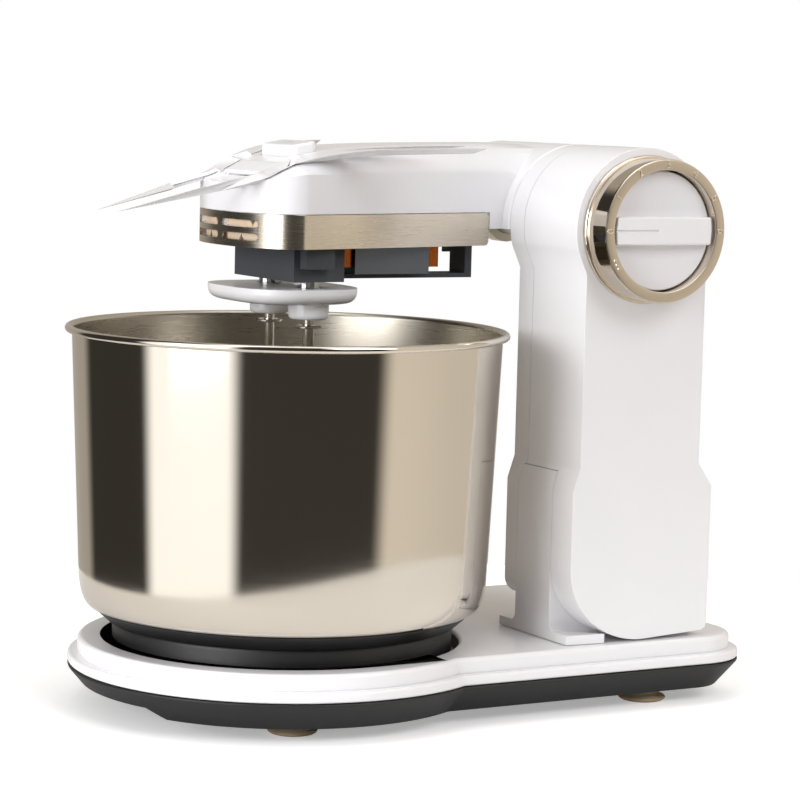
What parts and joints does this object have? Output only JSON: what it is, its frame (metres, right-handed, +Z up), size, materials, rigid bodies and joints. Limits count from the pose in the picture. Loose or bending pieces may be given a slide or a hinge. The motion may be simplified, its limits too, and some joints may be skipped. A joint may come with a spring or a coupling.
{
  "type": "stand mixer",
  "caption": "Tilt-head stand mixer with side dial, twin wire beaters and a deep polished steel bowl on a free-turning table in its base.",
  "frame": {"origin": "on the table under the middle of the whole machine's outline", "axes": "+X from the bowl to the column, +Y away from the dial side, +Z up"},
  "size_m": [0.3066, 0.1992, 0.2545],
  "materials": {
    "white_plastic": "glossy moulded ABS",
    "black_plastic": "fine matt moulded plastic",
    "foot_rubber": "soft translucent rubber",
    "polished_steel": "mirror-polished stainless steel outside, brushed inside",
    "beater_steel": "bright drawn steel wire",
    "band_steel": "lengthwise brushed stainless steel",
    "dial_chrome": "warm polished plating",
    "plain_steel": "turned steel",
    "cast_alloy": "cast aluminium",
    "core_steel": "stacked steel laminations",
    "copper_winding": "enamelled copper wire",
    "nylon": "natural nylon",
    "inner_plastic": "grey moulded plastic"
  },
  "bodies": {
    "base": {"base_lower_shell": "black_plastic", "base_top_cover": "white_plastic", "foot_front_near": "foot_rubber", "foot_front_far": "foot_rubber", "foot_rear_near": "foot_rubber", "foot_rear_far": "foot_rubber", "base_screw_front_near": "plain_steel", "base_screw_front_far": "plain_steel", "base_screw_rear_near": "plain_steel", "base_screw_rear_far": "plain_steel", "turntable_pin": "plain_steel", "turntable_bearing": "nylon", "pedestal": "white_plastic", "column_near_shell": "white_plastic", "column_far_shell": "white_plastic", "column_frame": "cast_alloy", "column_screw_front": "plain_steel", "column_screw_rear": "plain_steel", "dial_ring": "dial_chrome", "rotary_switch": "inner_plastic", "hinge_axle": "plain_steel"},
    "bowl_turntable": {"turntable": "black_plastic", "bowl_foot_ring": "black_plastic", "bowl": "polished_steel"},
    "dial": {"speed_knob": "white_plastic", "knob_shaft": "nylon"},
    "head": {"hinge_bush_near": "nylon", "hinge_bush_far": "nylon", "head_upper_shell": "white_plastic", "head_lower_shell": "white_plastic", "trim_band": "band_steel", "chin_cap": "white_plastic", "gear_housing": "inner_plastic", "motor_cradle": "inner_plastic", "motor_stator": "core_steel", "motor_coil_front": "copper_winding", "motor_coil_rear": "copper_winding", "carbon_brush_near": "inner_plastic", "carbon_brush_far": "inner_plastic", "eject_spring": "plain_steel"},
    "motor_rotor": {"motor_shaft": "plain_steel", "motor_worm": "plain_steel", "motor_rotor": "copper_winding", "motor_fan": "inner_plastic"},
    "near_drive": {"worm_wheel_near": "nylon", "spindle_near": "plain_steel", "beater_near": "beater_steel"},
    "far_drive": {"worm_wheel_far": "nylon", "spindle_far": "plain_steel", "beater_far": "beater_steel"},
    "eject_key": {"eject_button": "white_plastic", "eject_plate": "nylon"}
  },
  "joints": [
    {"name": "turntable_spin", "type": "hinge", "parent": "base", "child": "bowl_turntable", "pos_m": [-0.0537, 0, 0.024], "axis": [0, 0, 1], "continuous": true},
    {"name": "speed_dial_turn", "type": "hinge", "parent": "base", "child": "dial", "pos_m": [0.0863, -0.08, 0.218], "axis": [0, 1, 0], "range_deg": [-30, 180]},
    {"name": "head_tilt", "type": "hinge", "parent": "base", "child": "head", "pos_m": [0.0863, 0, 0.218], "axis": [0, 1, 0], "range_deg": [0, 38]},
    {"name": "motor_spin", "type": "hinge", "parent": "head", "child": "motor_rotor", "pos_m": [-0.0137, 0, 0.217], "axis": [1, 0, 0], "continuous": true},
    {"name": "near_beater_spin", "type": "hinge", "parent": "head", "child": "near_drive", "pos_m": [-0.0537, -0.019, 0.217], "axis": [0, 0, 1], "continuous": true},
    {"name": "far_beater_spin", "type": "hinge", "parent": "head", "child": "far_drive", "pos_m": [-0.0537, 0.019, 0.217], "axis": [0, 0, 1], "continuous": true},
    {"name": "eject_press", "type": "slide", "parent": "head", "child": "eject_key", "axis": [0, 0, -1], "range_m": [0, 0.003], "stiffness_N_per_m": 600, "springref_m": -0.003, "deforming": ["eject_spring"]}
  ],
  "couplings": [
    {"joint": "near_beater_spin", "follows": "motor_spin", "ratio": 0.1},
    {"joint": "far_beater_spin", "follows": "motor_spin", "ratio": -0.1}
  ]
}
